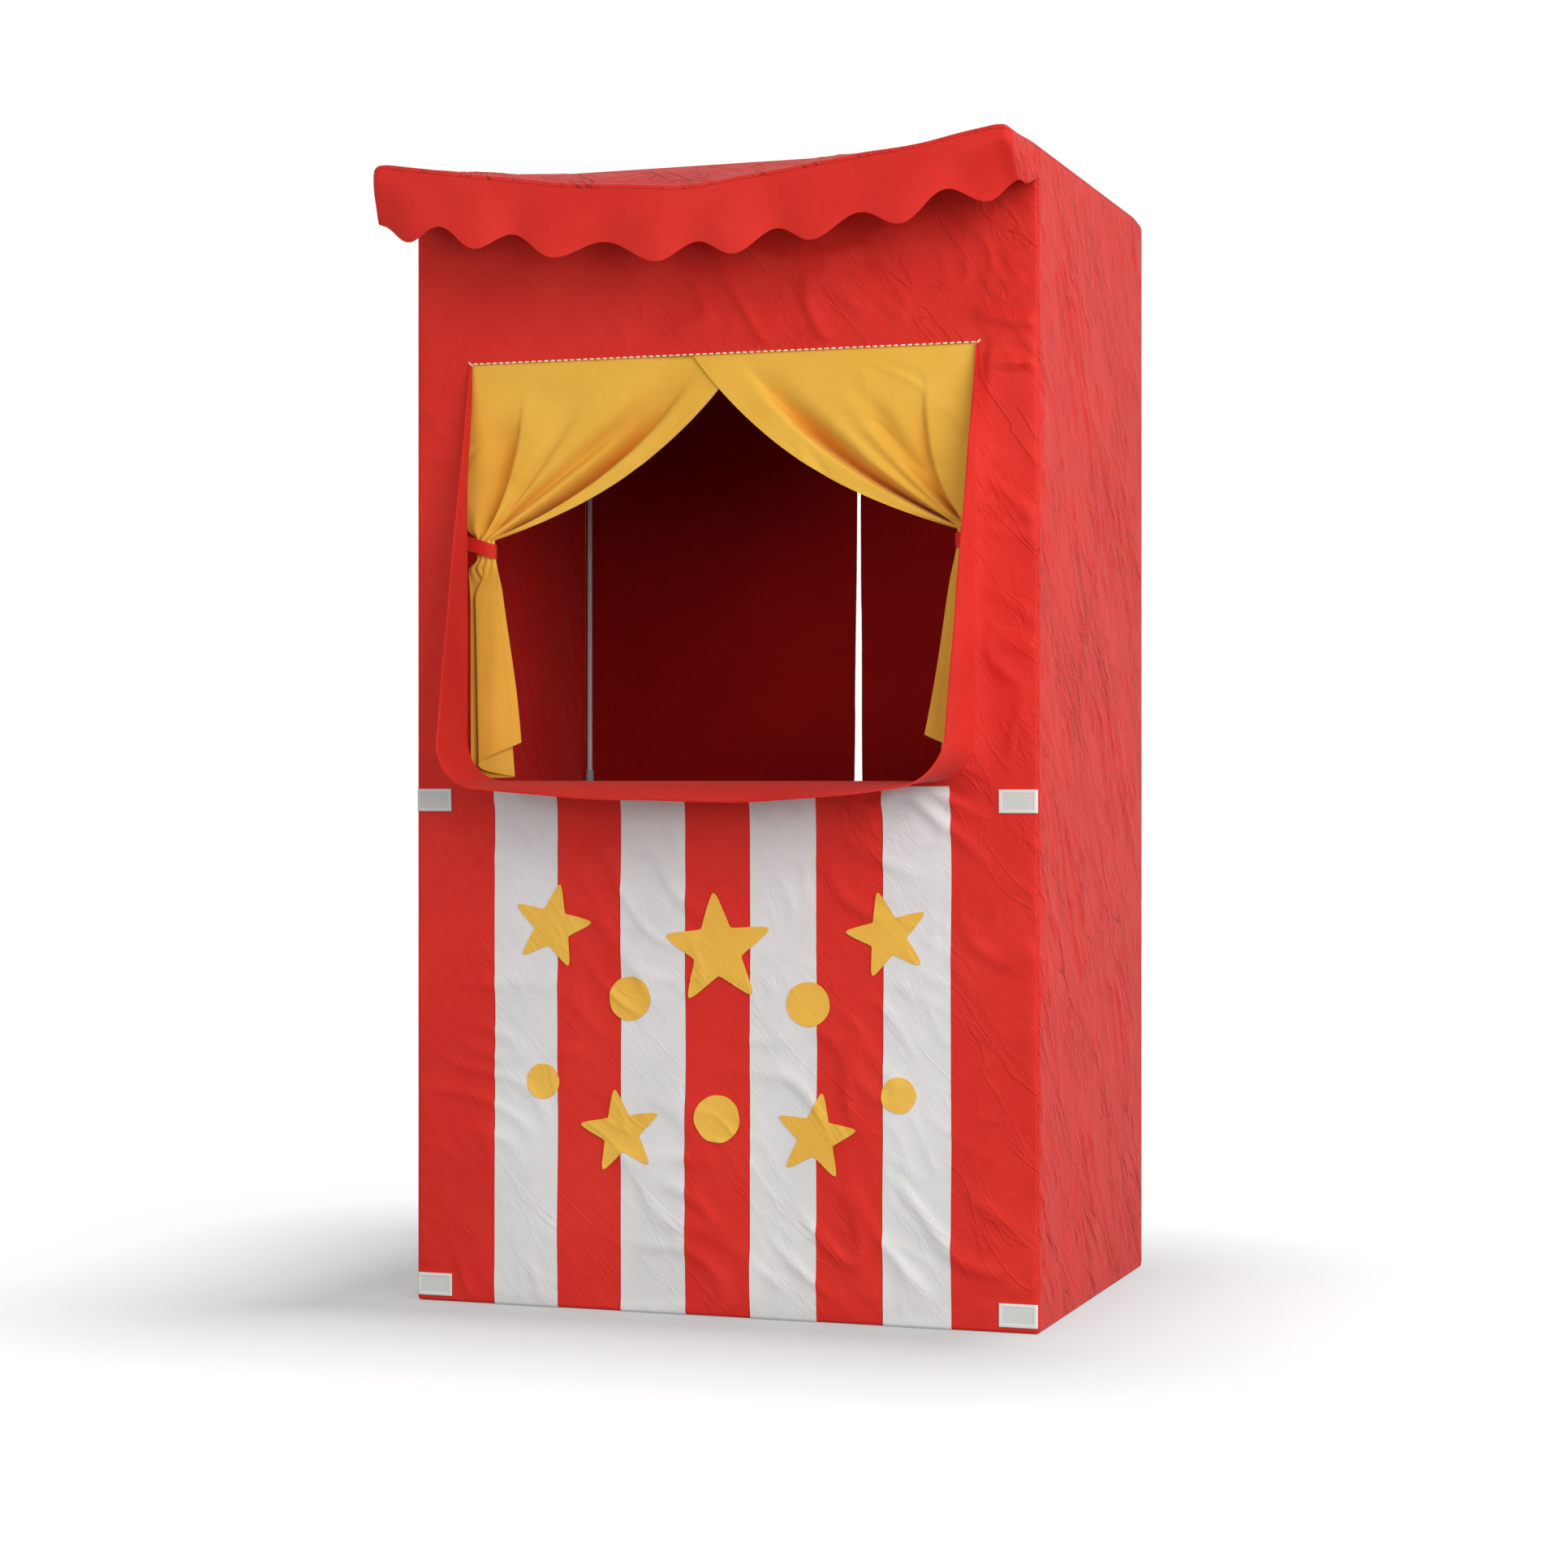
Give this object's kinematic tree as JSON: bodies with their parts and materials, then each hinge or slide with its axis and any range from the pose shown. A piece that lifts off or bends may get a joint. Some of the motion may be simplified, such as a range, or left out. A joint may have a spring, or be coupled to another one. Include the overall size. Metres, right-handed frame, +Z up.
{
  "type": "puppet theater stand",
  "caption": "Free-standing cloth puppet booth on a tube frame, with a flared stage window, tied curtains, a scalloped awning, front stripes and opening back flaps.",
  "frame": {"origin": "on the floor, midway between the awning's front and the back of the booth, in the middle of its width", "axes": "+X to the right as seen by the audience, +Y from the audience to the back, +Z up"},
  "size_m": [0.86, 0.74, 1.5],
  "materials": {
    "red_cloth": "matt woven polyester, lightly crumpled",
    "white_cloth": "matt woven polyester, lightly crumpled",
    "yellow_cloth": "soft matt woven polyester",
    "hook_tape": "stiff woven nylon tape with a field of fine hooks",
    "steel_tube": "satin grey coating",
    "connector_plastic": "moulded, fine matt texture"
  },
  "bodies": {
    "booth": {"awning": "red_cloth", "awning_arm_end_left": "connector_plastic", "awning_arm_end_right": "connector_plastic", "awning_arm_left": "steel_tube", "awning_arm_right": "steel_tube", "awning_valance": "red_cloth", "connector_bottom_front_left": "connector_plastic", "connector_bottom_front_right": "connector_plastic", "connector_bottom_rear_left": "connector_plastic", "connector_bottom_rear_right": "connector_plastic", "connector_sill_front_left": "connector_plastic", "connector_sill_front_right": "connector_plastic", "connector_sill_rear_left": "connector_plastic", "connector_sill_rear_right": "connector_plastic", "connector_top_front_left": "connector_plastic", "connector_top_front_right": "connector_plastic", "connector_top_rear_left": "connector_plastic", "connector_top_rear_right": "connector_plastic", "cover_front": "red_cloth", "cover_left": "red_cloth", "cover_right": "red_cloth", "cover_roof": "red_cloth", "cross_rail_bottom_front": "steel_tube", "cross_rail_bottom_rear": "steel_tube", "cross_rail_sill_front": "steel_tube", "cross_rail_top_front": "steel_tube", "cross_rail_top_rear": "steel_tube", "curtain_left": "yellow_cloth", "curtain_right": "yellow_cloth", "hook_patch_lower_left": "hook_tape", "hook_patch_lower_right": "hook_tape", "hook_patch_upper_left": "hook_tape", "hook_patch_upper_right": "hook_tape", "post_lower_front_left": "steel_tube", "post_lower_front_right": "steel_tube", "post_lower_rear_left": "steel_tube", "post_lower_rear_right": "steel_tube", "post_upper_front_left": "steel_tube", "post_upper_front_right": "steel_tube", "post_upper_rear_left": "steel_tube", "post_upper_rear_right": "steel_tube", "side_rail_bottom_left": "steel_tube", "side_rail_bottom_right": "steel_tube", "side_rail_sill_left": "steel_tube", "side_rail_sill_right": "steel_tube", "side_rail_top_left": "steel_tube", "side_rail_top_right": "steel_tube", "stage_apron": "red_cloth", "tie_band_left": "red_cloth", "tie_band_right": "red_cloth", "white_stripe_1": "white_cloth", "white_stripe_2": "white_cloth", "white_stripe_3": "white_cloth", "white_stripe_4": "white_cloth"},
    "back_flap_left": {"back_flap_left": "red_cloth"},
    "back_flap_right": {"back_flap_right": "red_cloth"},
    "tie_catch_left": {"tie_catch_left": "red_cloth"},
    "tie_catch_right": {"tie_catch_right": "red_cloth"}
  },
  "joints": [
    {"name": "back_flap_left_hinge", "type": "hinge", "parent": "booth", "child": "back_flap_left", "pos_m": [-0.4278, 0.3678, 0.75], "axis": [0, 0, 1], "range_deg": [0, 110]},
    {"name": "back_flap_right_hinge", "type": "hinge", "parent": "booth", "child": "back_flap_right", "pos_m": [0.4278, 0.3678, 0.75], "axis": [0, 0, -1], "range_deg": [0, 110]},
    {"name": "tie_left_hinge", "type": "hinge", "parent": "booth", "child": "tie_catch_left", "pos_m": [-0.3484, -0.2191, 1.008], "axis": [0, 0, 1], "range_deg": [0, 150]},
    {"name": "tie_right_hinge", "type": "hinge", "parent": "booth", "child": "tie_catch_right", "pos_m": [0.3484, -0.2191, 1.008], "axis": [0, 0, -1], "range_deg": [0, 150]}
  ]
}
